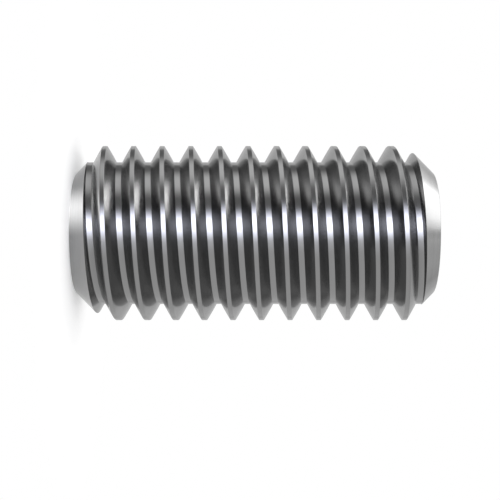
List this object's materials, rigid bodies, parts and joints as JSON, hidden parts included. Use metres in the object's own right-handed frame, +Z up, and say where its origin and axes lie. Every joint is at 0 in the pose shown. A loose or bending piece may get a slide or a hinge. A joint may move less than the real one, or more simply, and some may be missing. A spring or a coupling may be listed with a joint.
{
  "type": "grub set screw",
  "caption": "Headless set screw with a metric thread over its whole length, chamfered ends, a hexagon socket and a flat point.",
  "frame": {"origin": "centre of the flat point, on the surface that the screw stands on", "axes": "+Z up the screw's axis, from the flat point to the socket; the first crest lies half a pitch above the point on the +X side"},
  "size_m": [0.0048, 0.0048, 0.01],
  "materials": {
    "steel": "rolled thread and turned ends in plain bright steel, smooth and faintly lined round the axis"
  },
  "bodies": {
    "root": {"set_screw": "steel"}
  },
  "joints": []
}
